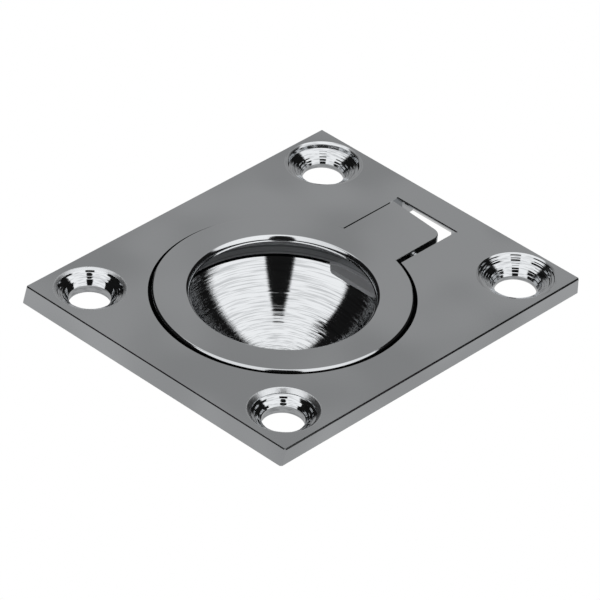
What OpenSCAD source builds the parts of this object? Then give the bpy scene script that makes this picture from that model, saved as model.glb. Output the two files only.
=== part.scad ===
// Flush lift ring: a flat plate with a turned cup, a hinged ring that lies in it, and the hinge pin.
// Origin: middle of the four screw holes, on the back face of the plate. +Z points out of the front
// face, +X runs along the plate's length towards the hinge.

/* [Plate] */
// Length of the plate's front face, across the hinge
plate_l = 44.6; // [44:0.1:60]
// Width of the plate's front face, along the hinge pin
plate_w = 38; // [37:0.1:60]
// Thickness of the plate
plate_t = 2.1; // [2:0.05:3]
// Radius of the cylinder that blunts the plate's upright corners
corner_r = 0.8; // [0.6:0.1:3]
// How far each end face leans out towards the back
end_lean = 0.3; // [0:0.05:0.6]
// How far the -Y side face leans in towards the back
near_lean = 0.2; // [0:0.05:0.6]
// How far the +Y side face leans out towards the back
far_lean = 0.25; // [0:0.05:0.6]

/* [Screw holes] */
// Distance from the plate's end to the hole centres
screw_inset_l = 4.7; // [4.5:0.1:6]
// Distance from the plate's side to the hole centres
screw_inset_w = 4.8; // [4.6:0.1:6]
// Diameter of the plain bore
screw_bore_d = 4.5; // [4.4:0.1:5.4]
// Diameter of the countersink where its rim meets the front face
screw_head_d = 8.6; // [7.6:0.1:8.8]
// Full angle of the countersink
screw_cone = 90; // [80:1:100]
// Radius of the soft rim between the countersink and the front face
screw_rim_r = 1.5; // [0.4:0.1:1.6]

/* [Lift ring] */
// Distance from the plate's middle to the ring's centre
ring_offset = 3.27; // [2:0.01:5]
// Outer diameter of the ring
ring_outer_d = 27.2; // [24:0.1:28]
// Diameter of the finger hole at its lip
ring_inner_d = 19.5; // [14:0.1:20]
// Thickness of the ring and its tab
ring_t = 2; // [1.8:0.05:2.2]
// How far the ring stands above the plate's front face
ring_proud = 0.3; // [0.2:0.05:0.5]
// Width of the rounding at the finger hole's upper edge
lip_round_w = 1.05; // [0.5:0.05:1.4]
// Depth of the rounding at the finger hole's upper edge
lip_round_h = 0.35; // [0.2:0.05:0.6]
// Height of the upright lip under that rounding
lip_land = 0.05; // [0.05:0.01:0.3]
// Radius of the rounding at the ring's outer upper edge
ring_edge_r = 0.2; // [0.05:0.05:0.4]
// Radial gap between the ring and the wall of its recess
ring_gap = 0.55; // [0.3:0.05:1]

/* [Hinge tab] */
// Width of the tab
tab_w = 7.8; // [6:0.1:10]
// How far the tab, its slot and the pin sit towards -Y from the plate's middle
tab_shift = 0.1; // [0:0.05:0.5]
// Length of the tab's tail behind the pin, at its longer side
tail_l = 4.8; // [4:0.05:5.2]
// How much shorter the tail is at its other side
tail_skew = 0.6; // [0:0.05:1]
// Corner radius at the tail's shorter side
tail_corner_r = 1.3; // [0.3:0.1:2]
// Gap between the tab and each side of its slot
tab_gap = 0.4; // [0.2:0.01:0.6]
// Gap between the tail and the end of the slot
tail_gap = 1.2; // [0.5:0.05:1.5]
// Gap left between the open tab and the slot's floor
stop_gap = 0.2; // [0.1:0.05:0.4]
// Height of the slot's upright end wall, over its undercut
end_wall_h = 0.4; // [0.2:0.05:1]
// How far the slot's end is cut back under that wall
undercut_l = 1.8; // [0.5:0.1:1.9]
// Distance from the slot's side to the undercut's side
undercut_inset = 0.7; // [0.3:0.05:2]

/* [Hinge pin] */
// Distance from the ring's centre to the pin
pin_reach = 16.07; // [15.5:0.01:17]
// Diameter of the pin
pin_d = 1.2; // [0.8:0.05:1.3]
// Depth of the pin's axis below the plate's front face
pin_depth = 0.75; // [0.7:0.01:0.85]
// Length of the pin that is pressed into the plate at each side
pin_grip = 3; // [1:0.1:6]
// Radial clearance of the pin in the tab
pin_clearance = 0.05; // [0.01:0.01:0.1]

/* [Cup] */
// Width of the flat seat that the ring rests on
seat_w = 1.6; // [1:0.05:2.2]
// Depth of the upright throat below the seat
throat_l = 1.75; // [1:0.05:3]
// Width of the small step between the throat and the bowl
bowl_step = 0.22; // [0.1:0.02:0.6]
// Depth of the bowl, from the plate's front face
bowl_depth = 9.5; // [7:0.1:12]
// Thickness of the bowl's wall
cup_wall = 1.5; // [1:0.1:3]
// Thickness of the collar outside the ring's recess
collar_wall = 0.75; // [0.6:0.05:0.9]
// Length of the collar's upright wall behind the plate
collar_l = 1.4; // [0.8:0.1:2.5]
// Height of the slope between the collar and the bowl
collar_slope = 1.2; // [0.8:0.1:2]
// Width of the lug on the hinge side of the throat
lug_w = 8; // [4:0.1:10]
// How far the lug reaches in from the throat's wall
lug_reach = 1.33; // [0.8:0.01:2]
// Thickness of the lug
lug_t = 0.5; // [0.3:0.05:1]
// Corner radius of the lug
lug_r = 1.5; // [0.5:0.1:2]

/* [Hidden] */
$fn = 96;

over = 1;
corner_skin = 0.05;
foot_inset = 0.1;
cup_shoulder = 0.2;
chrome = [0.56, 0.57, 0.58];
pin_steel = [0.50, 0.50, 0.51];

ring_x = -ring_offset;
ring_outer_r = ring_outer_d / 2;
ring_inner_r = ring_inner_d / 2;
recess_r = ring_outer_r + ring_gap;
seat_z = plate_t + ring_proud - ring_t;
ring_top = seat_z + ring_t;

throat_r = ring_outer_r - seat_w;
throat_z = seat_z - throat_l;
bowl_rim_r = throat_r - bowl_step;
bowl_z = plate_t - bowl_depth;
bowl_rise = throat_z - bowl_z;
bowl_r = (pow(bowl_rim_r, 2) + pow(bowl_rise, 2)) / (2 * bowl_rise);
bowl_centre_z = bowl_z + bowl_r;
collar_r = recess_r + collar_wall;

pin_x = ring_x + pin_reach;
pin_z = plate_t - pin_depth;
pin_r = pin_d / 2;
slot_w = tab_w + 2 * tab_gap;
pin_l = slot_w + 2 * pin_grip;
tab_y = -tab_shift;
tail_x = pin_x + tail_l;
slot_end_x = tail_x + tail_gap;
slot_floor_x = pin_x - (pin_z - seat_z) - stop_gap;
undercut_w = slot_w - 2 * undercut_inset;

screw_x = plate_l / 2 - screw_inset_l;
screw_y = plate_w / 2 - screw_inset_w;
screw_bore_r = screw_bore_d / 2;
screw_head_r = screw_head_d / 2;
cone_slope = 90 - screw_cone / 2;
rim_run = screw_rim_r * sin(cone_slope);
rim_drop = screw_rim_r * (1 - cos(cone_slope));
cone_rise = (screw_head_r - rim_run - screw_bore_r) * tan(cone_slope);
screw_land = plate_t - rim_drop - cone_rise;

arc_steps = 12;

// Points of an arc about a centre, from one angle to another
function arc(centre, r, from, to) =
    [for (i = [0 : arc_steps]) let (a = from + (to - from) * i / arc_steps)
        centre + r * [cos(a), sin(a)]];

// Radius of the cup's outside at a height
function cup_outer_r(z) = sqrt(pow(bowl_r + cup_wall, 2) - pow(bowl_centre_z - z, 2));

// Section of the plate whose two ends lean out by their own amounts
module sloped_section(length, low_lean, high_lean) {
    polygon([
        [-length / 2 - low_lean, 0],
        [length / 2 + high_lean, 0],
        [length / 2, plate_t],
        [-length / 2, plate_t]
    ]);
}

// Rectangle with round corners
module round_rectangle(length, width, r) {
    square([length - 2 * r, width], center = true);
    square([length, width - 2 * r], center = true);
    for (x = [-1, 1], y = [-1, 1]) {
        translate([x * (length / 2 - r), y * (width / 2 - r)]) circle(r);
    }
}

// Plate before any opening is cut: both ends lean out, both sides lean towards +Y, corners are blunt
module plate_blank() {
    intersection() {
        rotate([90, 0, 0])
            linear_extrude(height = 2 * plate_w, center = true)
                sloped_section(plate_l, end_lean, end_lean);
        rotate([90, 0, 90])
            linear_extrude(height = 2 * plate_l, center = true)
                sloped_section(plate_w, -near_lean, far_lean);
        translate([0, 0, -over]) linear_extrude(height = plate_t + 2 * over)
            round_rectangle(
                plate_l + 2 * (end_lean + corner_skin),
                plate_w + 2 * (far_lean + corner_skin),
                corner_r
            );
    }
}

// Outside of the cup behind the plate
module cup_outside() {
    slope_z = -collar_l - collar_slope;
    rotate_extrude() polygon([
        [0, plate_t / 2],
        [collar_r, plate_t / 2],
        [collar_r, -collar_l],
        [cup_outer_r(slope_z) + cup_shoulder, slope_z],
        [0, slope_z]
    ]);
    intersection() {
        translate([0, 0, bowl_centre_z]) sphere(bowl_r + cup_wall);
        translate([0, 0, bowl_z - 2 * cup_wall])
            cylinder(h = throat_z - bowl_z + 2 * cup_wall, r = collar_r - cup_shoulder);
    }
}

// Lug that stands in from the throat's wall on the hinge side
module lug() {
    tip_x = throat_r - lug_reach;
    translate([tip_x + throat_r / 2, 0, throat_z - lug_t])
        linear_extrude(height = lug_t) round_rectangle(throat_r, lug_w, lug_r);
}

// Space inside the recess, throat and bowl
module cup_inside() {
    translate([0, 0, seat_z]) cylinder(h = plate_t, r = recess_r);
    translate([0, 0, throat_z]) cylinder(h = throat_l + over, r = throat_r);
    difference() {
        intersection() {
            translate([0, 0, bowl_centre_z]) sphere(bowl_r);
            translate([0, 0, bowl_z - over])
                cylinder(h = bowl_rise + over + throat_l / 2, r = bowl_rim_r);
        }
        lug();
    }
}

// Slot for the tab: a floor near the ring, right through under the tail, cut back at the end
module tab_slot() {
    translate([0, tab_y - slot_w / 2, seat_z]) cube([slot_end_x, slot_w, plate_t]);
    translate([slot_floor_x, tab_y - slot_w / 2, -collar_l - collar_slope - over])
        cube([slot_end_x - slot_floor_x, slot_w, plate_t + collar_l + collar_slope + over]);
    slope = undercut_l / (plate_t - end_wall_h);
    translate([0, tab_y, 0]) rotate([90, 0, 0]) linear_extrude(height = undercut_w, center = true) polygon([
        [slot_end_x - over, plate_t - end_wall_h],
        [slot_end_x, plate_t - end_wall_h],
        [slot_end_x + undercut_l + over * slope, -over],
        [slot_end_x - over, -over]
    ]);
}

// Countersunk screw hole with a soft rim
module screw_hole() {
    rim = arc([screw_head_r, plate_t - screw_rim_r], screw_rim_r, 90, 90 + cone_slope);
    rotate_extrude() polygon(concat(
        [
            [0, -over],
            [screw_bore_r, -over],
            [screw_bore_r, screw_land]
        ],
        [for (i = [arc_steps : -1 : 0]) rim[i]],
        [
            [screw_head_r, plate_t + over],
            [0, plate_t + over]
        ]
    ));
}

module base_plate() {
    color(chrome) difference() {
        union() {
            plate_blank();
            translate([ring_x, 0, 0]) cup_outside();
        }
        translate([ring_x, 0, 0]) cup_inside();
        tab_slot();
        translate([pin_x, tab_y, pin_z]) rotate([90, 0, 0])
            cylinder(h = pin_l, r = pin_r, center = true);
        for (x = [-1, 1], y = [-1, 1]) {
            translate([x * screw_x, y * screw_y, 0]) screw_hole();
        }
    }
}

// Ring section: flat top, soft lip at the finger hole, underside cut back for a fingertip
module ring_section() {
    round_x = ring_inner_r + lip_round_w;
    lip_z = ring_top - lip_round_h - lip_land;
    foot_r = throat_r + foot_inset;
    lip = [for (i = [0 : arc_steps]) let (a = 90 * i / arc_steps)
        [round_x - lip_round_w * sin(a), ring_top - lip_round_h * (1 - cos(a))]];
    polygon(concat(
        [
            [foot_r, seat_z],
            [ring_outer_r, seat_z]
        ],
        arc([ring_outer_r - ring_edge_r, ring_top - ring_edge_r], ring_edge_r, 0, 90),
        lip,
        [[ring_inner_r, lip_z]]
    ));
}

// Outline of the tab, square at one corner and round at the other
module tab_outline() {
    inner_x = ring_x + sqrt(pow(ring_outer_r, 2) - pow(tab_w / 2, 2)) - seat_w / 2;
    skew_angle = atan(tail_skew / tab_w);
    corner_y = -tab_w / 2 + tail_corner_r;
    edge_x = tail_x - tail_skew + tail_corner_r * tail_skew / tab_w;
    corner_x = edge_x - tail_corner_r / cos(skew_angle);
    polygon(concat(
        [
            [inner_x, -tab_w / 2]
        ],
        arc([corner_x, corner_y], tail_corner_r, -90, -skew_angle),
        [
            [tail_x, tab_w / 2],
            [inner_x, tab_w / 2]
        ]
    ));
}

module lift_ring() {
    color(chrome) difference() {
        union() {
            translate([ring_x, 0, 0]) rotate_extrude() ring_section();
            translate([0, tab_y, seat_z]) linear_extrude(height = ring_t) tab_outline();
        }
        translate([pin_x, tab_y, pin_z]) rotate([90, 0, 0])
            cylinder(h = tab_w + 2 * over, r = pin_r + pin_clearance, center = true);
    }
}

module hinge_pin() {
    color(pin_steel) translate([pin_x, tab_y, pin_z]) rotate([90, 0, 0])
        cylinder(h = pin_l, r = pin_r, center = true);
}

base_plate();
lift_ring();
hinge_pin();
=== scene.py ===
"""Looks of a flush lift ring: a chrome plated plate with a turned cup, its hinged ring and the hinge pin.

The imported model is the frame. The plate and the ring are modelled again on its sizes, with tool marks,
soft edges and polished or turned surfaces, and ride on its bodies. The loose ring also leans a little on
its seat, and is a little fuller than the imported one.
"""

import math

import bpy
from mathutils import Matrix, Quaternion, Vector


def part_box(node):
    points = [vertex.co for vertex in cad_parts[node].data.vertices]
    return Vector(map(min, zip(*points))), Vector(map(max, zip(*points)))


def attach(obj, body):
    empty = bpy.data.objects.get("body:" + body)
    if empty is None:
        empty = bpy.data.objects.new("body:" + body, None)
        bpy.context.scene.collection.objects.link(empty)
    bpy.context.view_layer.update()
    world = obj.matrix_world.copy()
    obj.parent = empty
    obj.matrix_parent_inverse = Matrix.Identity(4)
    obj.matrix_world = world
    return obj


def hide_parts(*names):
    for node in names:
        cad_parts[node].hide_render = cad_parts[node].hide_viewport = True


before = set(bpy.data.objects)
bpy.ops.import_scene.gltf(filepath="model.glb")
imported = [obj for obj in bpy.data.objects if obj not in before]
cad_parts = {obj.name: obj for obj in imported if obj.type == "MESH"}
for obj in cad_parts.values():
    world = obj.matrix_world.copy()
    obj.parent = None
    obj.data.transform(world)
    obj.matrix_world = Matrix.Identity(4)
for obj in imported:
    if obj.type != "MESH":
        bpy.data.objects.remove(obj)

bl_info = {
    "name": "Flush lift ring",
    "version": (1, 0, 0),
    "blender": (4, 5, 0),
    "location": "3D View > Sidebar > Lift ring",
    "description": "Models a plated flush lift ring around its packed frame, with its studio",
    "category": "Object",
}

MM = 0.001

PLATE_LOW, PLATE_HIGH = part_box("base_plate")
RING_LOW, RING_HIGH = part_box("lift_ring")
PIN_LOW, PIN_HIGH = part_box("hinge_pin")

# How far a cutting tool runs past the metal, and how deep the slot's tools reach behind the plate
SPARE = 1.0 * MM
SLOT_REACH = 4.0 * MM

# How far the lug and the tab run into the metal that carries them
LUG_ROOT = 0.6 * MM
TAB_ROOT = 0.8 * MM

# Points closer than this are merged
WELD = 0.0004 * MM

# How close the middle of a face has to be to the surface that it lies on: in general, at the front face,
# at a turned wall, and at the bowl with its marks. The lug's faces are at least LUG_PROUD off the bowl.
NEAR = 0.01 * MM
NEAR_TOP = 0.001 * MM
NEAR_WALL = 0.1 * MM
NEAR_BOWL = 0.3 * MM
LUG_PROUD = 0.03 * MM

# A face whose normal lies along Y by more than this share is one of the slot's sides
SIDEWAYS = 0.9

# Faces round the cup and the ring, round a screw hole, round the pin's bore and across a bevel
ROUND_FACES = 192
HOLE_FACES = 128
BORE_FACES = 64
BEVEL_FACES = 5

# Steps of the arcs in the sections and outlines
BOWL_ARC = 170
CUP_ARC = 24
CORNER_ARC = 8
EDGE_ARC = 6

# Edges sharper than this angle in degrees stay sharp, and a bevel of this profile is flat
SHARP_ANGLE = 25.0
FLAT_PROFILE = 0.25

# Turned steps of each countersink, from its outer edge inwards: width in mm and slope in degrees.
# The tool left treads and risers of its own in every hole.
HOLE_STEPS = {
    (-1, 1): (
        (0.06, 8), (0.10, 16), (0.26, 25), (0.11, 58), (0.22, 25), (0.05, 50), (0.20, 25), (0.05, 50),
        (0.20, 26), (0.30, 54), (0.12, 34),
    ),
    (-1, -1): (
        (0.06, 8), (0.08, 20), (0.36, 44), (0.03, 70), (0.28, 25), (0.12, 56), (0.24, 25), (0.04, 50),
        (0.16, 25), (0.14, 54), (0.10, 28),
    ),
    (1, 1): (
        (0.06, 12), (0.34, 19), (0.13, 72), (0.12, 20), (0.24, 22), (0.03, 50), (0.26, 22), (0.04, 50),
        (0.28, 22), (0.06, 60), (0.18, 22), (0.10, 61), (0.08, 22), (0.13, 60),
    ),
    (1, -1): (
        (0.05, 12), (0.20, 20), (0.06, 62), (0.24, 20), (0.05, 60), (0.10, 20), (0.09, 62), (0.24, 21),
        (0.03, 50), (0.22, 21), (0.03, 50), (0.22, 21), (0.09, 61), (0.05, 24), (0.14, 61), (0.08, 24),
        (0.16, 58),
    ),
}

# Width in mm of the dull outer band of a countersink, where it has one
DULL_RIMS = {(-1, 1): 0.42, (-1, -1): 0.50, (1, 1): 0.0, (1, -1): 0.0}

# Soft inner edge of the ring, from its flat top inwards: width in mm and slope in degrees
LIP_STEPS = (
    (0.10, 3), (0.08, 15), (0.07, 24), (0.07, 34), (0.07, 44), (0.06, 54), (0.05, 63),
    (0.02, 75), (0.05, 45), (0.05, 25),
)

# Tool marks of the bowl: distance from the cup's axis, height of the mark and its half width, in mm.
# A positive height stands up from the bowl's surface.
BOWL_MARKS = (
    (10.9, -0.003, 0.08), (10.2, -0.003, 0.07), (9.45, -0.003, 0.10), (9.15, -0.014, 0.07),
    (8.3, -0.003, 0.08), (7.55, 0.006, 0.07), (7.3, -0.007, 0.06), (7.05, 0.006, 0.06),
    (6.85, -0.007, 0.05), (6.6, 0.006, 0.06), (6.3, 0.020, 0.08), (6.1, -0.014, 0.07),
    (5.2, -0.002, 0.08), (4.2, -0.006, 0.07), (3.4, -0.002, 0.06),
)

# How often the tool's streaks break round their axis: the noise's steps over a radius's length of arc
STREAK_BREAKS = 2.5

# The studio was fitted to the reflections in the photo. Its far side is where the camera looks, as an
# azimuth in degrees.
FAR_AZIMUTH = 42.2

# Lower edge of the light tent all round, in degrees: azimuth from the far side, and height
TENT_EDGE = (
    (-180, 11), (-125, 15), (-99, 26), (-92, 30), (-81, 41), (-59, 52), (-40, 53), (0, 56), (40, 53),
    (50, 57), (60, 67), (68, 66), (75, 56), (85, 51), (96, 43), (109, 31), (135, 16), (180, 11),
)

# Half the width of the tent's soft edge in degrees, and the tent's strength
TENT_BLUR = 2.0
TENT_LIGHT = 1.5

# The slit that the camera looks through, in shares of the tent's radius: half its width and its offset
# overhead, how much both grow down to the camera's side, where it ends past the top of the tent, and
# half the width of its soft sides
SLIT_HALF = 0.05
SLIT_OFFSET = 0.042
SLIT_WIDENS = 0.22
SLIT_SHIFTS = 0.045
SLIT_END = -0.06
SLIT_BLUR = 0.02

# The grey card on the far side, in degrees: half its width, the height from which it narrows and how
# fast, half the width of its soft sides, and the heights between which its light rises by CARD_GLOW
CARD_HALF = 27.0
CARD_SHOULDER = 52.5
CARD_TAPER = 1.8
CARD_BLUR = 3.0
CARD_LOW = 42.0
CARD_HIGH = 58.0
CARD_LIGHT = 0.44
CARD_GLOW = 0.5

# Light of the dark gaps, greys of the floor as light falls on it and as metal mirrors it, and its size in
# metres
GAP_LIGHT = 0.012
FLOOR_GREY = 0.62
FLOOR_MIRRORED = 0.56
FLOOR_SIZE = 4.0

# The camera was fitted to the plate's edges, the holes and the ring in the photo: the point that it aims
# at, its distance and its lens in mm, and its azimuth, elevation and roll in radians
CAMERA_AIM = (-2.710, -1.967, 2.1)
CAMERA_DISTANCE = 495.6
CAMERA_AZIMUTH = 0.736980
CAMERA_ELEVATION = 0.619344
CAMERA_ROLL = 0.0603539
LENS = 284.4
SENSOR = 36.0


def linear(hex_colour):
    """A linear RGBA colour from an sRGB hex value."""
    channels = [int(hex_colour[i:i + 2], 16) / 255 for i in (1, 3, 5)]
    lin = [c / 12.92 if c <= 0.04045 else ((c + 0.055) / 1.055) ** 2.4 for c in channels]
    return (*lin, 1.0)


def length(name, description, default):
    """A size property in metres."""
    return bpy.props.FloatProperty(
        name=name, description=description, default=default, min=0.0, precision=5, unit="LENGTH"
    )


def angle(name, description, default):
    """An angle property, with its default in degrees."""
    return bpy.props.FloatProperty(
        name=name, description=description, default=math.radians(default), subtype="ANGLE"
    )


def share(name, description, default):
    """A property from 0 to 1."""
    return bpy.props.FloatProperty(
        name=name, description=description, default=default, min=0.0, max=1.0, subtype="FACTOR"
    )


def colour(name, description, hex_colour):
    """A colour property from an sRGB hex value."""
    return bpy.props.FloatVectorProperty(
        name=name, description=description, default=linear(hex_colour), size=4, min=0.0, max=1.0,
        subtype="COLOR",
    )


class LiftRingPlateSizes(bpy.types.PropertyGroup):
    """Sizes of the plate, its holes and its cup."""

    end_lean: length("End lean", "How far each end face leans out towards the back", 0.3 * MM)
    near_lean: length("Near side lean", "How far the -Y side leans in towards the back", 0.2 * MM)
    far_lean: length("Far side lean", "How far the +Y side leans out towards the back", 0.25 * MM)
    corner: length("Corner", "Width taken off the upright corners", 0.20 * MM)
    edge: length("Edge", "Width taken off the edges of the front face", 0.10 * MM)
    near_edge: length("Near edge", "Width taken off the -Y edge of the front face", 0.15 * MM)
    screw_inset_l: length("Hole inset, ends", "From the plate's end to the hole centres", 4.7 * MM)
    screw_inset_w: length("Hole inset, sides", "From the plate's side to the hole centres", 4.8 * MM)
    bore_r: length("Bore radius", "Radius of the plain bore", 2.25 * MM)
    recess_r: length("Recess radius", "Radius of the recess that the ring lies in", 14.15 * MM)
    seat_z: length("Seat height", "Height of the ring's seat over the back face", 0.4 * MM)
    throat_r: length("Throat radius", "Radius of the turned throat under the ring", 12.0 * MM)
    throat_l: length("Throat depth", "Depth of the throat under the seat", 1.75 * MM)
    # Outside the lug, the throat's foot strip gets the near black painted shade of the gaps.
    throat_foot: length("Throat foot", "Height of the dull strip at the throat's foot", 0.2 * MM)
    bowl_step: length("Bowl step", "Step between the throat and the bowl", 0.22 * MM)
    bowl_depth: length("Bowl depth", "Depth of the bowl from the front face", 9.5 * MM)
    cup_wall: length("Cup wall", "Thickness of the bowl's wall", 1.5 * MM)
    collar_r: length("Collar radius", "Outside radius of the collar behind the plate", 14.9 * MM)
    collar_l: length("Collar length", "Length of the collar behind the plate", 1.4 * MM)
    collar_slope: length("Collar slope", "Height of the slope below the collar", 1.2 * MM)
    lug_w: length("Lug width", "Width of the lug in the throat", 8.0 * MM)
    lug_reach: length("Lug reach", "How far the lug stands in from the throat's wall", 1.33 * MM)
    lug_t: length("Lug thickness", "Thickness of the lug", 0.5 * MM)
    lug_r: length("Lug corner", "Corner radius of the lug", 1.5 * MM)
    end_wall: length("End wall", "Height of the slot's upright end wall", 0.25 * MM)
    end_edge: length("End edge", "Width taken off the upper edge of the slot's end wall", 0.11 * MM)
    undercut: length("Undercut", "How far the slot's end is cut back below its upright wall", 1.8 * MM)
    undercut_inset: length("Undercut inset", "From the slot's side to the undercut's side", 0.7 * MM)


class LiftRingRingSizes(bpy.types.PropertyGroup):
    """Sizes of the ring and its tab."""

    outer_r: length("Outer radius", "Outer radius of the ring", 13.6 * MM)
    fullness: length("Fullness", "How much the cast ring is over its outer radius", 0.20 * MM)
    inner_r: length("Hole radius", "Radius of the finger hole at its lip", 9.75 * MM)
    lip: length("Lip", "Height of the upright lip", 0.05 * MM)
    edge: length("Edge", "Rounding of the ring's outer upper edge", 0.32 * MM)
    tab_edge: length("Tab edge", "Rounding of the tab's upper edge", 0.10 * MM)
    drift: length("Drift", "How far the loose ring lies towards +X and +Y of its recess", 0.04 * MM)
    play: length("Play", "Gap that the cast ring keeps over its seat", 0.2 * MM)
    foot_inset: length("Foot inset", "From the throat's radius to the foot's inner edge", 0.1 * MM)
    tab_w: length("Tab width", "Width of the tab", 7.8 * MM)
    tab_ease: length("Tab ease", "How much narrower the cast tab is on its +Y side", 0.07 * MM)
    tab_gap: length("Tab gap", "Gap at each side of the tab", 0.4 * MM)
    tail_gap: length("Tail gap", "Gap behind the tail", 1.2 * MM)
    tail_skew: length("Tail skew", "How much shorter the tail is at one side", 0.6 * MM)
    tail_corner: length("Tail corner", "Corner radius at the shorter side", 1.3 * MM)
    stop_gap: length("Stop gap", "Gap left to the slot's floor when the ring is up", 0.2 * MM)
    pin_clearance: length("Pin clearance", "Radial clearance of the pin in the tab", 0.05 * MM)
    tilt_side: angle("Sideways tilt", "How far the loose ring leans about the X axis", 0.57)
    tilt_end: angle("Lengthways tilt", "How far the loose ring leans about the Y axis", -0.29)


class LiftRingFinish(bpy.types.PropertyGroup):
    """Colours and finishes."""

    plating: colour("Plating", "Colour of the chrome plate", "#C2C4C6")
    # Painted shade: soft darker patches that stand for uneven reflections on the polished flats.
    painted_patch_shade: colour("Clouds", "Colour of the faint clouds on the polished flats", "#B2B4B6")
    # Painted shade: a darker grey in the tool lines of the bowl and the holes, where the grooves dim the
    # reflection.
    line: colour("Tool lines", "Colour of the plating down in the tool lines", "#A2A4A6")
    # Painted shade and painted highlight: the throat is tinted in streaks between this dark grey and the pale
    # lug grey.
    shade: colour("Shade", "Colour of the throat's darker tool lines", "#8A8C8E")
    # Painted light: the lug colour is a paler grey than the plating, on the lug and in the throat's pale
    # lines.
    lug: colour("Lug", "Colour of the unpolished lug and of the throat's pale lines", "#CBCCCE")
    # Painted shade: the recess colour, near black, stands for the shade in the gaps round the ring.
    recess: colour("Recess", "Colour of the dull finish that the polishing wheel doesn't reach", "#1B1C1D")
    pin: colour("Pin", "Colour of the drawn wire pin", "#B9BABC")
    flat_roughness: share("Flat roughness", "Roughness of the polished flats", 0.09)
    cut_roughness: share("Turned roughness", "Roughness of the turned cup and holes", 0.06)
    throat_roughness: share("Throat roughness", "Roughness of the throat's wall", 0.46)
    rim_roughness: share("Rim roughness", "Roughness of the blunted rims of the holes", 0.30)
    lug_roughness: share("Lug roughness", "Roughness of the unpolished lug", 0.8)
    # This roughness goes with the painted shade in the gaps round the ring.
    recess_roughness: share("Recess roughness", "Roughness of the dull finish round the ring", 0.6)
    pin_roughness: share("Pin roughness", "Roughness of the drawn wire pin", 0.2)


def settings():
    """The scene's settings: the plate's sizes, the ring's sizes and the finishes."""
    scene = bpy.context.scene
    return scene.lift_ring_plate, scene.lift_ring_ring, scene.lift_ring_finish


def ring_centre_x():
    """The ring's centre: one outer radius in from the far end of its box."""
    return RING_LOW.x + bpy.context.scene.lift_ring_ring.outer_r


def pin_axis():
    """Middle of the hinge pin, which the tab and its slot are centred on."""
    return (PIN_LOW + PIN_HIGH) / 2


def slot_half(ring):
    """Half the width of the tab's slot."""
    return ring.tab_w / 2 + ring.tab_gap


def slot_end_x(ring):
    """Where the slot ends behind the tail."""
    return RING_HIGH.x + ring.tail_gap


def hole_places(plate):
    """The four hole centres, by the signs of their places."""
    x = PLATE_HIGH.x - plate.end_lean - plate.screw_inset_l
    y = -PLATE_LOW.y - plate.screw_inset_w
    return {signs: (signs[0] * x, signs[1] * y) for signs in HOLE_STEPS}


def throat_z(plate):
    """Height of the throat's lower end."""
    return plate.seat_z - plate.throat_l


def across(steps):
    """Width of all the steps of a turned edge."""
    return MM * sum(width for width, slope in steps)


def rest():
    """Leaves edit mode and deselects everything."""
    if bpy.context.mode != "OBJECT":
        bpy.ops.object.mode_set(mode="OBJECT")
    bpy.ops.object.select_all(action="DESELECT")


def only(obj):
    """Selects one object and makes it active."""
    rest()
    obj.select_set(True)
    bpy.context.view_layer.objects.active = obj


def arc(centre, radius, start, end, steps):
    """Points of an arc in a section, between two angles in degrees."""
    angles = [math.radians(start + (end - start) * i / steps) for i in range(steps + 1)]
    return [(centre[0] + radius * math.cos(a), centre[1] + radius * math.sin(a)) for a in angles]


def stepped(r, z, steps):
    """Points of a turned edge in a section, inwards and down from its outer end."""
    points = [(r, z)]
    for width, slope in steps:
        r -= width * MM
        z -= width * MM * math.tan(math.radians(slope))
        points.append((r, z))
    return points


def drawn(name, points):
    """Draws a line of points from a single vertex, and stays in edit mode."""
    rest()
    bpy.ops.mesh.primitive_plane_add(size=MM)
    piece = bpy.context.active_object
    piece.name = name
    bpy.ops.object.mode_set(mode="EDIT")
    bpy.ops.mesh.select_mode(type="VERT")
    bpy.ops.mesh.select_all(action="SELECT")
    bpy.ops.mesh.merge(type="CENTER")
    bpy.ops.transform.translate(value=points[0])
    for before, after in zip(points, points[1:]):
        step = [b - a for a, b in zip(before, after)]
        bpy.ops.mesh.extrude_region_move(TRANSFORM_OT_translate={"value": step})
    bpy.ops.mesh.select_all(action="SELECT")
    return piece


def close_up():
    """Merges what meets and turns every face outwards. Ends edit mode."""
    bpy.ops.mesh.select_all(action="SELECT")
    bpy.ops.mesh.remove_doubles(threshold=WELD)
    bpy.ops.mesh.normals_make_consistent(inside=False)
    bpy.ops.object.mode_set(mode="OBJECT")


def turned(name, section, axis_x=0.0, axis_y=0.0, steps=ROUND_FACES):
    """Turns a section of (radius, height) points about an upright axis. It ends on the axis or closes."""
    piece = drawn(name, [(axis_x + r, axis_y, z) for r, z in section])
    centre = (axis_x, axis_y, 0.0)
    bpy.ops.mesh.spin(steps=steps, angle=math.tau, center=centre, axis=(0.0, 0.0, 1.0))
    close_up()
    return piece


def prism(name, outline, move):
    """Extrudes a closed outline of points into a solid."""
    piece = drawn(name, outline)
    bpy.ops.mesh.edge_face_add()
    bpy.ops.mesh.extrude_region_move(TRANSFORM_OT_translate={"value": move})
    close_up()
    return piece


def raised(name, outline, low, high):
    """Raises a closed outline of (x, y) points from one height to another."""
    return prism(name, [(x, y, low) for x, y in outline], (0.0, 0.0, high - low))


def block(name, low, high):
    """A block between two corners."""
    rest()
    size = [b - a for a, b in zip(low, high)]
    middle = [(a + b) / 2 for a, b in zip(low, high)]
    bpy.ops.mesh.primitive_cube_add(size=1.0, location=middle, scale=size)
    piece = bpy.context.active_object
    piece.name = name
    bpy.ops.object.transform_apply(location=True, rotation=True, scale=True)
    return piece


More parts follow.
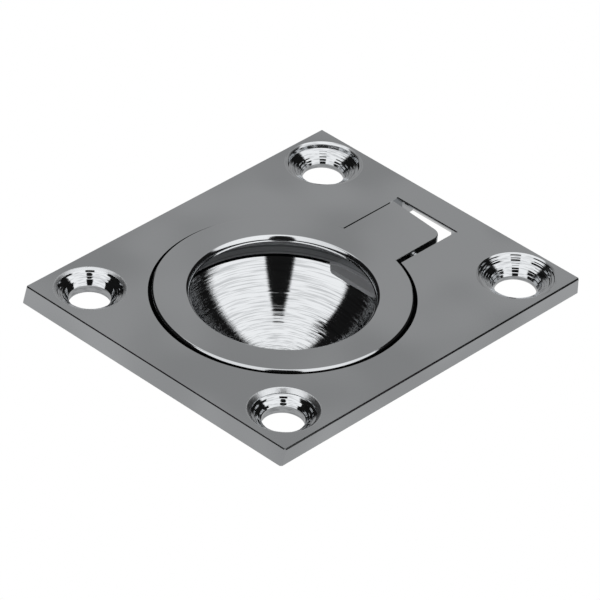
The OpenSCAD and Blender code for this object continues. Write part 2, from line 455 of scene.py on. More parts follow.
def pin_bore(clearance):
    """Space of the hinge pin with a radial clearance, on the pin's own axis."""
    rest()
    radius = (PIN_HIGH.z - PIN_LOW.z) / 2 + clearance
    bpy.ops.mesh.primitive_cylinder_add(
        vertices=BORE_FACES, radius=radius, depth=PIN_HIGH.y - PIN_LOW.y, location=pin_axis(),
        rotation=(math.radians(90.0), 0.0, 0.0),
    )
    tool = bpy.context.active_object
    bpy.ops.object.transform_apply(location=True, rotation=True, scale=True)
    return tool


def pick(piece, test, kind="VERT"):
    """Selects what passes a test of its place in edit mode: vertices, or the edges or faces between them."""
    only(piece)
    bpy.ops.object.mode_set(mode="EDIT")
    bpy.ops.mesh.select_mode(type="VERT")
    bpy.ops.mesh.select_all(action="DESELECT")
    bpy.ops.object.mode_set(mode="OBJECT")
    for vertex in piece.data.vertices:
        vertex.select = test(vertex.co)
    bpy.ops.object.mode_set(mode="EDIT")
    bpy.ops.mesh.select_mode(type=kind)


def coat(piece, material, test=None):
    """Gives the piece a material, or gives it to the faces that pass a test of their middle and normal."""
    piece.data.materials.append(material)
    if test is None:
        return
    pick(piece, lambda v: False, "FACE")
    bpy.ops.object.mode_set(mode="OBJECT")
    for face in piece.data.polygons:
        face.select = test(face.center, face.normal)
    piece.active_material_index = len(piece.data.materials) - 1
    bpy.ops.object.mode_set(mode="EDIT")
    bpy.ops.object.material_slot_assign()
    bpy.ops.object.mode_set(mode="OBJECT")


def combine(piece, tool, operation):
    """Adds a tool to a piece or cuts it out, and removes the tool."""
    only(piece)
    change = piece.modifiers.new(operation.title(), "BOOLEAN")
    change.operation = operation
    change.solver = "EXACT"
    change.object = tool
    bpy.ops.object.modifier_apply(modifier=change.name)
    bpy.data.objects.remove(tool)


def finish_faces(piece):
    """Smooth shading that leaves flats flat and keeps sharp edges sharp."""
    only(piece)
    bpy.ops.object.shade_smooth_by_angle(angle=math.radians(SHARP_ANGLE))
    weigh = piece.modifiers.new("Weighted Normal", "WEIGHTED_NORMAL")
    weigh.keep_sharp = True
    bpy.ops.object.modifier_apply(modifier=weigh.name)


def plate_blank(plate):
    """The plate before any opening: its ends lean out, both sides lean towards +Y, its corners are blunt."""
    top = PLATE_HIGH.z
    low = (PLATE_LOW.x + plate.end_lean, PLATE_LOW.y, 0.0)
    high = (PLATE_HIGH.x - plate.end_lean, PLATE_HIGH.y - plate.far_lean, top)
    blank = block("base_plate_body", low, high)
    leans = (
        (lambda v: v.x < 0, (-plate.end_lean, 0.0, 0.0)),
        (lambda v: v.x > 0, (plate.end_lean, 0.0, 0.0)),
        (lambda v: v.y < 0, (0.0, plate.near_lean, 0.0)),
        (lambda v: v.y > 0, (0.0, plate.far_lean, 0.0)),
    )
    for side, move in leans:
        pick(blank, lambda v: v.z < top / 2 and side(v))
        bpy.ops.transform.translate(value=move)
    bpy.ops.object.mode_set(mode="OBJECT")
    soften_blank(blank, plate)
    return blank


def soften_blank(blank, plate):
    """Blunts the upright corners and the edges of the front face, each by its own width."""
    top = PLATE_HIGH.z
    weights = blank.data.attributes.new("bevel_weight_edge", "FLOAT", "EDGE")
    widest = max(plate.corner, plate.edge, plate.near_edge)
    points = blank.data.vertices
    for edge in blank.data.edges:
        a, b = (points[i].co for i in edge.vertices)
        middle = (a + b) / 2
        if abs(a.z - b.z) > top / 2:
            weights.data[edge.index].value = plate.corner / widest
        elif middle.z > top / 2:
            near = middle.y < PLATE_LOW.y + plate.near_lean / 2
            weights.data[edge.index].value = (plate.near_edge if near else plate.edge) / widest
    only(blank)
    soften = blank.modifiers.new("Soften", "BEVEL")
    soften.width = widest
    soften.segments = BEVEL_FACES
    soften.profile = FLAT_PROFILE
    soften.limit_method = "WEIGHT"
    bpy.ops.object.modifier_apply(modifier=soften.name)


def bowl_circle(plate):
    """Radius of the bowl and the height of its centre, from its rim and its depth."""
    rim_r = plate.throat_r - plate.bowl_step
    bottom = PLATE_HIGH.z - plate.bowl_depth
    rise = throat_z(plate) - bottom
    radius = (rim_r**2 + rise**2) / (2 * rise)
    return radius, bottom + radius


def cup_outside(plate):
    """Outside of the cup behind the plate: a collar, a slope and a round bottom."""
    radius, centre_z = bowl_circle(plate)
    outer = radius + plate.cup_wall
    slope_z = -plate.collar_l - plate.collar_slope
    start = math.degrees(math.asin((slope_z - centre_z) / outer))
    inside_plate = PLATE_HIGH.z / 2
    section = [(0.0, inside_plate), (plate.collar_r, inside_plate), (plate.collar_r, -plate.collar_l)]
    section += arc((0.0, centre_z), outer, start, -90.0, CUP_ARC)
    section[-1] = (0.0, centre_z - outer)
    return turned("cup_outside", section, ring_centre_x())


def mark_height(r):
    """Height of the tool marks over the bowl's surface, at a distance from its axis."""
    return sum(high * MM * math.exp(-((r / MM - place) / half) ** 2) for place, high, half in BOWL_MARKS)


def cup_inside(plate):
    """Space of the recess, the throat and the bowl with its tool marks, as one turned tool."""
    radius, centre_z = bowl_circle(plate)
    above = PLATE_HIGH.z + SPARE
    low = throat_z(plate)
    start = math.degrees(math.asin((low - centre_z) / radius))
    section = [
        (0.0, above),
        (plate.recess_r, above),
        (plate.recess_r, plate.seat_z),
        (plate.throat_r, plate.seat_z),
        (plate.throat_r, low + plate.throat_foot),
        (plate.throat_r, low),
    ]
    for r, z in arc((0.0, centre_z), radius, start, -90.0, BOWL_ARC):
        shrink = 1 - mark_height(r) / radius
        section.append((r * shrink, centre_z + (z - centre_z) * shrink))
    section[-1] = (0.0, section[-1][1])
    return turned("cup_inside", section, ring_centre_x())


def screw_hole(plate, steps, place):
    """Space of one countersunk hole, with the treads and risers that its tool left."""
    rim_r = plate.bore_r + across(steps)
    above = PLATE_HIGH.z + SPARE
    sunk = stepped(rim_r, PLATE_HIGH.z, steps)
    section = [(0.0, above), (rim_r, above), *sunk, (sunk[-1][0], -SPARE), (0.0, -SPARE)]
    return turned("screw_hole", section, *place, HOLE_FACES)


def slot_tools(plate, ring):
    """Spaces of the tab's slot: over the floor, through behind it, and the cut-back end."""
    axis = pin_axis()
    low_y, high_y = axis.y - slot_half(ring), axis.y + slot_half(ring)
    end = slot_end_x(ring)
    floor_x = axis.x - (axis.z - plate.seat_z) - ring.stop_gap
    top = PLATE_HIGH.z + SPARE
    over_floor = block("slot_over_floor", (0.0, low_y, plate.seat_z), (RING_HIGH.x, high_y, top))
    through = block("slot_through", (floor_x, low_y, -SLOT_REACH), (RING_HIGH.x, high_y, top))
    behind_tail = block("slot_behind_tail", (RING_HIGH.x, low_y, -SLOT_REACH), (end, high_y, top))
    combine(over_floor, through, "UNION")
    wall_z = PLATE_HIGH.z - plate.end_wall
    inset = plate.undercut_inset
    cut = block("undercut", (end - SPARE, low_y + inset, 0.0), (end, high_y - inset, wall_z))
    pick(cut, lambda v: v.x > end - NEAR and v.z < wall_z / 2)
    bpy.ops.transform.translate(value=(plate.undercut, 0.0, 0.0))
    pick(cut, lambda v: v.z < wall_z / 2, "FACE")
    bpy.ops.mesh.extrude_region_move(TRANSFORM_OT_translate={"value": (0.0, 0.0, -SPARE)})
    close_up()
    return over_floor, behind_tail, cut, slot_end_edge(plate, end, low_y, high_y)


def slot_end_edge(plate, end, low_y, high_y):
    """Space over the blunt upper edge of the slot's end wall.

    The wedge reaches past the wall, the front face and the slot's sides by the edge's own width, so that
    none of its faces lies on one of theirs.
    """
    w = plate.end_edge
    top = PLATE_HIGH.z
    outline = [(end - w, top - 2 * w), (end - w, top + w), (end + 2 * w, top + w)]
    low_y -= w
    high_y += w
    return prism("slot_end_edge", [(x, low_y, z) for x, z in outline], (0.0, high_y - low_y, 0.0))


def lug(plate):
    """The small lug that stands in from the throat on the hinge side."""
    tip = ring_centre_x() + plate.throat_r - plate.lug_reach
    root = tip + plate.lug_reach + LUG_ROOT
    half = plate.lug_w / 2
    r = plate.lug_r
    outline = [(root, -half)]
    outline += arc((tip + r, -half + r), r, 270.0, 180.0, CORNER_ARC)
    outline += arc((tip + r, half - r), r, 180.0, 90.0, CORNER_ARC)
    outline += [(root, half)]
    top = throat_z(plate)
    return raised("lug", outline, top - plate.lug_t, top)


class LIFTRING_OT_base_plate(bpy.types.Operator):
    """Models the plate with its cup, recess, holes and slot"""

    bl_idname = "lift_ring.base_plate"
    bl_label = "Base plate"
    bl_options = {"REGISTER", "UNDO"}

    def execute(self, context):
        plate, ring, finish = settings()
        body = plate_blank(plate)
        combine(body, cup_outside(plate), "UNION")
        combine(body, cup_inside(plate), "DIFFERENCE")
        for tool in slot_tools(plate, ring):
            combine(body, tool, "DIFFERENCE")
        for signs, place in hole_places(plate).items():
            combine(body, screw_hole(plate, HOLE_STEPS[signs], place), "DIFFERENCE")
        combine(body, pin_bore(0.0), "DIFFERENCE")
        combine(body, lug(plate), "UNION")
        body.data.materials.clear()
        coat(body, polished_plate(finish))
        coat(body, turned_plate("turned_cup", finish, (ring_centre_x(), 0.0), depth=1.0), in_bowl)
        coat(body, throat_plate(finish), in_throat)
        coat(body, turned_plate("turned_holes", finish, hole_places(plate)[1, 1], depth=0.3), in_hole)
        coat(body, soft_rim(finish), on_dull_rim)
        # Painted shade: the faces round the ring, on its seat, beside the tab, at the throat's foot and on
        # the step over the bowl are coated near black.
        coat(body, painted_shade_recess(finish), in_recess)
        # Painted light: the lug and the foot over it get a paler grey than the plating.
        coat(body, cast_lug_painted_light(finish), on_lug)
        finish_faces(body)
        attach(body, "base")
        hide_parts("base_plate")
        return {"FINISHED"}


def from_cup_axis(point):
    """Distance of a point from the cup's axis."""
    return math.hypot(point.x - ring_centre_x(), point.y)


def in_bowl(point, normal):
    """Whether a face lies in the bowl."""
    plate = settings()[0]
    return from_cup_axis(point) < plate.throat_r and point.z < throat_z(plate) and is_inside_cup(point)


def is_inside_cup(point):
    """Whether a point lies on the bowl's inner surface, not on the cup's outside."""
    radius, centre_z = bowl_circle(settings()[0])
    distance = math.hypot(from_cup_axis(point), point.z - centre_z)
    return distance < radius + NEAR_BOWL


def in_throat(point, normal):
    """Whether a face lies on the throat's upright wall."""
    plate = settings()[0]
    near_wall = abs(from_cup_axis(point) - plate.throat_r) < NEAR_WALL
    return near_wall and throat_z(plate) + plate.throat_foot < point.z < plate.seat_z


def inside_rims(point):
    """How far a point lies inside the rim of each screw hole, by the signs of the hole's place."""
    plate = settings()[0]
    return {
        signs: plate.bore_r + across(HOLE_STEPS[signs]) - math.hypot(point.x - x, point.y - y)
        for signs, (x, y) in hole_places(plate).items()
    }


def in_hole(point, normal):
    """Whether a face lies in a screw hole."""
    return NEAR < point.z < PLATE_HIGH.z - NEAR_TOP and max(inside_rims(point).values()) > 0.0


def on_dull_rim(point, normal):
    """Whether a face lies on the dull outer band of a countersink."""
    bands = [0.0 < far < DULL_RIMS[signs] * MM for signs, far in inside_rims(point).items()]
    return in_hole(point, normal) and any(bands)


def in_recess(point, normal):
    """Whether a face lies round the ring, on its seat, beside the tab or on the step over the bowl."""
    plate, ring = settings()[:2]
    r = from_cup_axis(point)
    round_wall = plate.throat_r < r < plate.recess_r + NEAR_WALL and plate.seat_z - NEAR < point.z
    low = throat_z(plate) - NEAR
    bowl_step = plate.throat_r - plate.bowl_step < r < plate.throat_r + NEAR
    bowl_step = bowl_step and low < point.z < low + plate.throat_foot
    side = abs(point.y - pin_axis().y)
    slot_side = abs(side - slot_half(ring)) < NEAR and abs(normal.y) > SIDEWAYS
    slot_floor = side < slot_half(ring) and abs(point.z - plate.seat_z) < NEAR
    ahead = plate.throat_r < point.x - ring_centre_x() and point.x < RING_HIGH.x
    below_top = point.z < PLATE_HIGH.z - NEAR
    return below_top and (round_wall or bowl_step or (ahead and (slot_side or slot_floor)))


def on_lug(point, normal):
    """Whether a face lies on the lug in the throat, or on the foot of the throat over it."""
    plate = settings()[0]
    radius, centre_z = bowl_circle(plate)
    r = from_cup_axis(point)
    down = throat_z(plate) - point.z
    ahead = point.x > ring_centre_x() + plate.throat_r - plate.lug_reach - NEAR
    beside = abs(point.y) < plate.lug_w / 2 + NEAR
    on_top = -plate.throat_foot < down < NEAR and r < plate.throat_r + NEAR
    off_bowl = math.hypot(r, point.z - centre_z) < radius - LUG_PROUD
    below = 0.0 < down < plate.lug_t + NEAR and off_bowl
    return ahead and beside and (on_top or below)


def ring_section(plate, ring):
    """Section of the ring: flat top, soft lip, underside cut back for a fingertip."""
    top = RING_HIGH.z
    low = plate.seat_z + ring.play
    foot_r = plate.throat_r + ring.foot_inset
    lip = stepped(ring.inner_r + across(LIP_STEPS), top, LIP_STEPS)
    outer_r = ring.outer_r + ring.fullness
    section = [(foot_r, low), (outer_r, low)]
    section += arc((outer_r - ring.edge, top - ring.edge), ring.edge, 0.0, 90.0, EDGE_ARC)
    section += lip + [(ring.inner_r, lip[-1][1] - ring.lip)]
    return section + [section[0]]


def tab_outline(ring):
    """Outline of the tab, square at one corner of its tail and round at the other."""
    half = ring.tab_w / 2
    middle = pin_axis().y
    inner_x = ring_centre_x() + math.sqrt(ring.outer_r**2 - half**2) - TAB_ROOT
    skew = math.atan(ring.tail_skew / ring.tab_w)
    r = ring.tail_corner
    edge_x = RING_HIGH.x - ring.tail_skew + r * ring.tail_skew / ring.tab_w
    corner = (edge_x - r / math.cos(skew), middle - half + r)
    outline = [(inner_x, middle - half)]
    outline += arc(corner, r, -90.0, -math.degrees(skew), CORNER_ARC)
    far_y = middle + half - ring.tab_ease
    return outline + [(RING_HIGH.x, far_y), (inner_x, far_y)]


def tab(plate, ring):
    """The tab with its tail and its soft upper edge."""
    top = RING_HIGH.z
    body = raised("tab", tab_outline(ring), plate.seat_z + ring.play, top)
    pick(body, lambda v: v.z > top - NEAR, "EDGE")
    bpy.ops.mesh.bevel(offset=ring.tab_edge, segments=BEVEL_FACES, affect="EDGES")
    close_up()
    return body


class LIFTRING_OT_lift_ring(bpy.types.Operator):
    """Models the ring with its tab"""

    bl_idname = "lift_ring.lift_ring"
    bl_label = "Ring and tab"
    bl_options = {"REGISTER", "UNDO"}

    def execute(self, context):
        plate, ring, finish = settings()
        body = turned("lift_ring_body", ring_section(plate, ring), ring_centre_x())
        pick(body, lambda v: True)
        bpy.ops.transform.translate(value=(ring.drift, ring.drift, 0.0))
        combine(body, tab(plate, ring), "UNION")
        only(body)
        body.rotation_euler = (ring.tilt_side, ring.tilt_end, 0.0)
        bpy.ops.object.transform_apply(location=True, rotation=True, scale=True)
        combine(body, pin_bore(ring.pin_clearance), "DIFFERENCE")
        body.data.materials.clear()
        coat(body, polished_plate(finish))
        finish_faces(body)
        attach(body, "ring")
        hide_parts("lift_ring")
        return {"FINISHED"}


class LIFTRING_OT_hinge_pin(bpy.types.Operator):
    """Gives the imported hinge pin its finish"""

    bl_idname = "lift_ring.hinge_pin"
    bl_label = "Hinge pin"
    bl_options = {"REGISTER", "UNDO"}

    def execute(self, context):
        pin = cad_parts["hinge_pin"]
        pin.data.materials.clear()
        pin.data.materials.append(drawn_wire(settings()[2]))
        return {"FINISHED"}


def node(tree, kind, inputs=None, **values):
    """Adds one node. Values name its attributes or sockets. An input is a number, a socket or a node."""
    made = tree.nodes.new("ShaderNode" + kind)
    for name, value in values.items():
        if hasattr(made, name):
            setattr(made, name, value)
        else:
            made.inputs[name.replace("_", " ")].default_value = value
    for name, source in (inputs or {}).items():
        if isinstance(source, (int, float)):
            made.inputs[name].default_value = source
            continue
        if isinstance(source, bpy.types.Node):
            source = source.outputs[0]
        tree.links.new(source, made.inputs[name])
    return made


def fade(low, high):
    """Settings of a Map Range node that rises smoothly from 0 to 1 between two values."""
    return {"interpolation_type": "SMOOTHSTEP", "From_Min": low, "From_Max": high}


def metal(name, base_colour, roughness):
    """A new metal: its material, its node tree and its shader."""
    material = bpy.data.materials.new(name)
    material.use_nodes = True
    shader = material.node_tree.nodes["Principled BSDF"]
    shader.inputs["Base Color"].default_value = base_colour
    shader.inputs["Metallic"].default_value = 1.0
    shader.inputs["Roughness"].default_value = roughness
    return material, material.node_tree, shader


def roughen(tree, shader, *layers):
    """Gives a shader bump from layers of noise, each with its height in metres."""
    height = 0.0
    for noise, amount in layers:
        height = node(tree, "Math", {0: noise, 1: amount, 2: height}, operation="MULTIPLY_ADD")
    bump = node(tree, "Bump", {"Height": height}, Strength=1.0, Distance=1.0)
    tree.links.new(bump.outputs["Normal"], shader.inputs["Normal"])


def tinted(tree, shader, factor, low, high):
    """Colours a shader between two colours by a factor."""
    tint = node(tree, "Mix", {"Factor": factor}, data_type="RGBA", A=low, B=high)
    tree.links.new(tint.outputs["Result"], shader.inputs["Base Color"])


def polished_plate(finish):
    """Chrome plate over a linished casting: a hard mirror with a faint haze, long soft waves and soft patches
    of painted shade.
    """
    material, tree, shader = metal("polished_chrome_plate", finish.plating, finish.flat_roughness)
    place = node(tree, "TexCoord").outputs["Object"]
    waves = node(tree, "TexNoise", {"Vector": place}, Scale=1 / (7 * MM), Detail=1.0)
    grain = node(tree, "TexNoise", {"Vector": place}, Scale=1 / (0.25 * MM), Detail=2.0)
    roughen(tree, shader, (waves, 0.012 * MM), (grain, 0.0004 * MM))
    # Painted shade: soft darker patches over the flats, in place of uneven reflections.
    clouds = node(tree, "TexNoise", {"Vector": place}, Scale=1 / (13 * MM), Detail=1.0)
    painted_shade_patches = node(tree, "MapRange", {"Value": clouds}, **fade(0.35, 0.65))
    tinted(tree, shader, painted_shade_patches, finish.painted_patch_shade, finish.plating)
    return material


def turned_plate(name, finish, axis, depth):
    """Chrome plate over a lathe-turned surface: a mirror broken by fine rings of the tool, with painted shade
    in its darker tool lines.

    The rings run about an upright axis. One beside the plate's middle line is mirrored to all four corners.
    The depth is a share of the full depth of the tool's rings.
    """
    material, tree, shader = metal(name, finish.plating, finish.cut_roughness)
    place = node(tree, "TexCoord").outputs["Object"]
    if axis[1]:
        place = node(tree, "VectorMath", {0: place}, operation="ABSOLUTE")
    parts = node(tree, "SeparateXYZ", {"Vector": place})
    away_x = node(tree, "Math", {0: parts.outputs["X"], 1: axis[0]}, operation="SUBTRACT")
    away_y = node(tree, "Math", {0: parts.outputs["Y"], 1: axis[1]}, operation="SUBTRACT")
    square = node(tree, "Math", {0: away_y, 1: away_y}, operation="MULTIPLY")
    square = node(tree, "Math", {0: away_x, 1: away_x, 2: square}, operation="MULTIPLY_ADD")
    radius = node(tree, "Math", {0: square}, operation="SQRT")
    travel = node(tree, "Math", {0: radius, 1: parts.outputs["Z"]}, operation="ADD")
    coarse = node(tree, "TexNoise", {"W": travel}, noise_dimensions="1D", Scale=1 / (0.35 * MM), Detail=1.0)
    fine = node(tree, "TexNoise", {"W": travel}, noise_dimensions="1D", Scale=1 / (0.12 * MM), Detail=1.0)
    streaks = broken_rings(tree, travel, away_x, away_y, radius, 0.09 * MM)
    roughen(
        tree, shader,
        (coarse, depth * 0.010 * MM), (fine, depth * 0.003 * MM), (streaks, depth * 0.007 * MM),
    )
    # Painted shade: the tool lines are tinted darker than the plating.
    lines = broken_rings(tree, travel, away_x, away_y, radius, 0.16 * MM)
    lines = node(tree, "MapRange", {"Value": lines}, **fade(0.34, 0.54))
    tinted(tree, shader, lines, finish.line, finish.plating)
    return material


def broken_rings(tree, travel, away_x, away_y, radius, pitch):
    """Noise in rings about an axis, each broken into arcs: travel runs across the rings."""
    place = {"X": node(tree, "Math", {0: travel, 1: pitch}, operation="DIVIDE")}
    for name, away in (("Y", away_x), ("Z", away_y)):
        way = node(tree, "Math", {0: away, 1: radius}, operation="DIVIDE")
        place[name] = node(tree, "Math", {0: way, 1: STREAK_BREAKS}, operation="MULTIPLY")
    return node(tree, "TexNoise", {"Vector": node(tree, "CombineXYZ", place)}, Scale=1.0, Detail=2.0)


def throat_plate(finish):
    """Chrome plate over a coarser turned wall: grey and streaked round the throat with painted shade and
    paler painted highlight.
    """
    material, tree, shader = metal("turned_throat", finish.plating, finish.throat_roughness)
    place = node(tree, "TexCoord").outputs["Object"]
    height = node(tree, "SeparateXYZ", {"Vector": place}).outputs["Z"]
    rings = node(tree, "TexNoise", {"W": height}, noise_dimensions="1D", Scale=1 / (0.3 * MM), Detail=3.0)
    roughen(tree, shader, (rings, 0.025 * MM))
    # Painted shade and painted highlight: the throat is tinted in streaks between the dark shade and the pale
    # lug grey.
    lines = node(tree, "MapRange", {"Value": rings}, **fade(0.38, 0.62))
    tinted(tree, shader, lines, finish.shade, finish.lug)
    return material


def gritty(name, base_colour, roughness, pitch, detail, height):
    """A metal with an even grit, whose pitch and height are in metres."""
    material, tree, shader = metal(name, base_colour, roughness)
    place = node(tree, "TexCoord").outputs["Object"]
    grit = node(tree, "TexNoise", {"Vector": place}, Scale=1 / pitch, Detail=detail)
    roughen(tree, shader, (grit, height))
    return material


def soft_rim(finish):
    """Chrome plate over a countersink's blunted rim: a blurred mirror of pale and middle greys."""
    return gritty(
        "soft_rim", finish.plating, finish.rim_roughness, pitch=0.3 * MM, detail=2.0, height=0.010 * MM
    )


def cast_lug_painted_light(finish):
    """Chrome plate over the raw casting, rough and without any tool marks; its even pale grey is painted
    light.
    """
    return gritty(
        "cast_lug_painted_light", finish.lug, finish.lug_roughness, pitch=0.15 * MM, detail=2.0, height=0.006 * MM
    )


def painted_shade_recess(finish):
    """Painted shade: nearly black, rough metal on the faces of the narrow gaps round the ring, where shade
    falls.
    """
    return gritty(
        "painted_shade_recess", finish.recess, finish.recess_roughness, pitch=0.2 * MM, detail=3.0, height=0.02 * MM
    )


def drawn_wire(finish):
    """Drawn steel wire: bright, with fine lines along its length, twenty times as long as wide."""
    material, tree, shader = metal("drawn_wire", finish.pin, finish.pin_roughness)
    place = node(tree, "TexCoord").outputs["Object"]
    along = node(tree, "Mapping", {"Vector": place}, Scale=(1.0, 0.05, 1.0))
    lines = node(tree, "TexNoise", {"Vector": along}, Scale=1 / (0.06 * MM), Detail=2.0)
    roughen(tree, shader, (lines, 0.003 * MM))
    return material


def tent_edge(tree, azimuth):
    """Height of the tent's lower edge at an azimuth, in degrees."""
    unit = node(tree, "Math", {0: azimuth, 1: 1 / 360, 2: 0.5}, operation="MULTIPLY_ADD")
    curve = node(tree, "FloatCurve", {"Value": unit})
    line = curve.mapping.curves[0].points
    places = [((x + 180) / 360, y / 90) for x, y in TENT_EDGE]
    line[0].location = places[0]
    line[len(line) - 1].location = places[-1]
    for place in places[1:-1]:
        line.new(*place)
    for point in line:
        point.handle_type = "VECTOR"
    curve.mapping.update()
    return node(tree, "Math", {0: curve, 1: 90.0}, operation="MULTIPLY")


def tent_light(tree, away, aside, azimuth, height):
    """The tent's light, from 0 to 1: dark under its lower edge and in the slit for the camera."""
    over_edge = node(tree, "Math", {0: height, 1: tent_edge(tree, azimuth)}, operation="SUBTRACT")
    tent = node(tree, "MapRange", {"Value": over_edge}, **fade(-TENT_BLUR, TENT_BLUR))
    towards = node(tree, "Math", {0: away, 1: -1.0}, operation="MULTIPLY")
    towards = node(tree, "Math", {0: towards, 1: 0.0}, operation="MAXIMUM")
    half = node(tree, "Math", {0: towards, 1: SLIT_WIDENS, 2: SLIT_HALF}, operation="MULTIPLY_ADD")
    offset = node(tree, "Math", {0: towards, 1: SLIT_SHIFTS, 2: SLIT_OFFSET}, operation="MULTIPLY_ADD")
    from_slit = node(tree, "Math", {0: aside, 1: offset}, operation="ADD")
    from_slit = node(tree, "Math", {0: from_slit}, operation="ABSOLUTE")
    past_side = node(tree, "Math", {0: from_slit, 1: half}, operation="SUBTRACT")
    outside = node(tree, "MapRange", {"Value": past_side}, **fade(-SLIT_BLUR, SLIT_BLUR))
    beyond = node(tree, "MapRange", {"Value": away}, **fade(SLIT_END, 0.0))
    whole = node(tree, "Math", {0: outside, 1: beyond}, operation="MAXIMUM")
    return node(tree, "Math", {0: tent, 1: whole}, operation="MULTIPLY")


def card_light(tree, azimuth, height):
    """The grey card's light: a strip on the far side that narrows and gets brighter with height."""
    above = node(tree, "Math", {0: height, 1: CARD_SHOULDER}, operation="SUBTRACT")
    above = node(tree, "Math", {0: above, 1: 0.0}, operation="MAXIMUM")
    reach = node(tree, "Math", {0: above, 1: -CARD_TAPER, 2: CARD_HALF}, operation="MULTIPLY_ADD")
    aside = node(tree, "Math", {0: azimuth}, operation="ABSOLUTE")
    inside = node(tree, "Math", {0: reach, 1: aside}, operation="SUBTRACT")
    card = node(tree, "MapRange", {"Value": inside}, **fade(-CARD_BLUR, CARD_BLUR))
    glow = node(tree, "MapRange", {"Value": height}, **fade(CARD_LOW, CARD_HIGH))
    glow = node(tree, "Math", {0: glow, 1: CARD_GLOW, 2: CARD_LIGHT}, operation="MULTIPLY_ADD")
    return node(tree, "Math", {0: card, 1: glow}, operation="MULTIPLY")


def studio_world():
    """A white light tent with a slit for the camera, a grey card on the far side and dark gaps beside it."""
    world = bpy.data.worlds.new("light_tent")
    world.use_nodes = True
    tree = world.node_tree
    tree.nodes.clear()
    way = node(tree, "TexCoord").outputs["Generated"]
    way = node(
        tree, "VectorRotate", {"Vector": way}, rotation_type="Z_AXIS", Angle=-math.radians(FAR_AZIMUTH)
    )
    parts = node(tree, "SeparateXYZ", {"Vector": way})
    away, aside, up = parts.outputs["X"], parts.outputs["Y"], parts.outputs["Z"]
    azimuth = node(tree, "Math", {0: aside, 1: away}, operation="ARCTAN2")
    azimuth = node(tree, "Math", {0: azimuth, 1: 180 / math.pi}, operation="MULTIPLY")
    height = node(tree, "Math", {0: up}, operation="ARCSINE")
    height = node(tree, "Math", {0: height, 1: 180 / math.pi}, operation="MULTIPLY")

    tent = tent_light(tree, away, aside, azimuth, height)
    tent = node(tree, "Math", {0: tent, 1: TENT_LIGHT}, operation="MULTIPLY")
    light = node(tree, "Math", {0: tent, 1: card_light(tree, azimuth, height)}, operation="MAXIMUM")
    light = node(tree, "Math", {0: light, 1: GAP_LIGHT}, operation="ADD")
    to_camera = node(tree, "LightPath").outputs["Is Camera Ray"]
    seen = node(tree, "Mix", {"Factor": to_camera, "A": light}, data_type="FLOAT", B=1.0)
    back = node(tree, "Background", {"Strength": seen}, Color=(1.0, 1.0, 1.0, 1.0))
    node(tree, "OutputWorld", {"Surface": back})
    return world


def floor_material():
    """A pale matt floor. The camera sees it white, and metal sees it a little greyer."""
    material = bpy.data.materials.new("pale_floor")
    material.use_nodes = True
    tree = material.node_tree
    tree.nodes.clear()
    paths = node(tree, "LightPath").outputs
    matt = node(tree, "BsdfDiffuse", Color=(FLOOR_GREY, FLOOR_GREY, FLOOR_GREY, 1.0))
    white = node(tree, "Emission", Strength=1.0)
    grey = node(tree, "Emission", Strength=FLOOR_MIRRORED)
    mirrored = node(tree, "MixShader", {0: paths["Is Glossy Ray"], 1: matt, 2: grey})
    seen = node(tree, "MixShader", {0: paths["Is Camera Ray"], 1: mirrored, 2: white})
    node(tree, "OutputMaterial", {"Surface": seen})
    return material


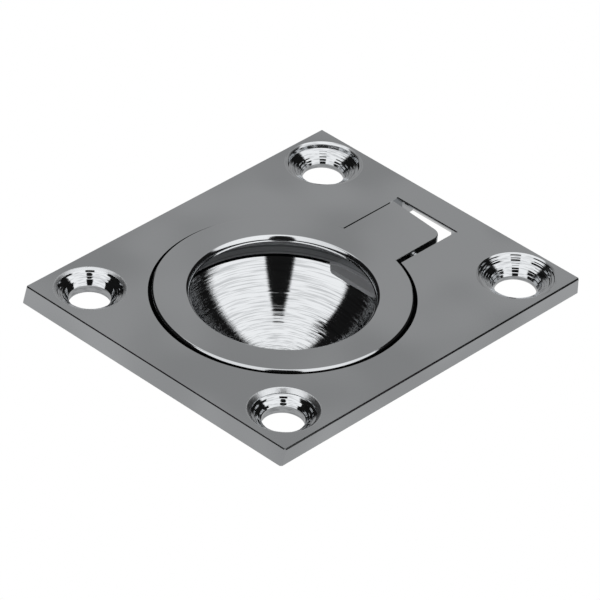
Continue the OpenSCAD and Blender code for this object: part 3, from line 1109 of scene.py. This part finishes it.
class LIFTRING_OT_stage(bpy.types.Operator):
    """Sets the floor, the light and the camera"""

    bl_idname = "lift_ring.stage"
    bl_label = "Stage"
    bl_options = {"REGISTER", "UNDO"}

    def execute(self, context):
        rest()
        bpy.ops.mesh.primitive_plane_add(size=FLOOR_SIZE, location=(0.0, 0.0, PLATE_LOW.z))
        floor = context.active_object
        floor.name = "floor"
        floor.data.materials.append(floor_material())
        context.scene.world = studio_world()
        back = Vector((
            -math.cos(CAMERA_AZIMUTH) * math.cos(CAMERA_ELEVATION),
            -math.sin(CAMERA_AZIMUTH) * math.cos(CAMERA_ELEVATION),
            math.sin(CAMERA_ELEVATION),
        ))
        place = Vector(CAMERA_AIM) * MM + back * CAMERA_DISTANCE * MM
        roll = Quaternion((0.0, 0.0, 1.0), CAMERA_ROLL)
        bpy.ops.object.camera_add(location=place)
        camera = context.active_object
        camera.rotation_mode = "QUATERNION"
        camera.rotation_quaternion = (-back).to_track_quat("-Z", "Y") @ roll
        camera.data.lens = LENS
        camera.data.sensor_width = SENSOR
        camera.data.clip_start = 10 * MM
        context.scene.camera = camera
        context.scene.view_settings.view_transform = "Standard"
        return {"FINISHED"}


class LIFTRING_PT_panel(bpy.types.Panel):
    """Lists the pieces, their sizes and their finishes"""

    bl_idname = "LIFTRING_PT_panel"
    bl_label = "Lift ring"
    bl_space_type = "VIEW_3D"
    bl_region_type = "UI"
    bl_category = "Lift ring"

    def draw(self, context):
        for operator in OPERATORS:
            self.layout.operator(operator.bl_idname)
        for group in settings():
            box = self.layout.box()
            for name in group.__annotations__:
                box.prop(group, name)


OPERATORS = (LIFTRING_OT_base_plate, LIFTRING_OT_lift_ring, LIFTRING_OT_hinge_pin, LIFTRING_OT_stage)
CLASSES = (LiftRingPlateSizes, LiftRingRingSizes, LiftRingFinish, *OPERATORS, LIFTRING_PT_panel)


def register():
    for cls in CLASSES:
        bpy.utils.register_class(cls)
    bpy.types.Scene.lift_ring_plate = bpy.props.PointerProperty(type=LiftRingPlateSizes)
    bpy.types.Scene.lift_ring_ring = bpy.props.PointerProperty(type=LiftRingRingSizes)
    bpy.types.Scene.lift_ring_finish = bpy.props.PointerProperty(type=LiftRingFinish)


def unregister():
    del bpy.types.Scene.lift_ring_finish
    del bpy.types.Scene.lift_ring_ring
    del bpy.types.Scene.lift_ring_plate
    for cls in reversed(CLASSES):
        bpy.utils.unregister_class(cls)


def main():
    register()
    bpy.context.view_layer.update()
    bpy.ops.lift_ring.base_plate()
    bpy.ops.lift_ring.lift_ring()
    bpy.ops.lift_ring.hinge_pin()
    bpy.ops.lift_ring.stage()


if __name__ == "__main__":
    main()
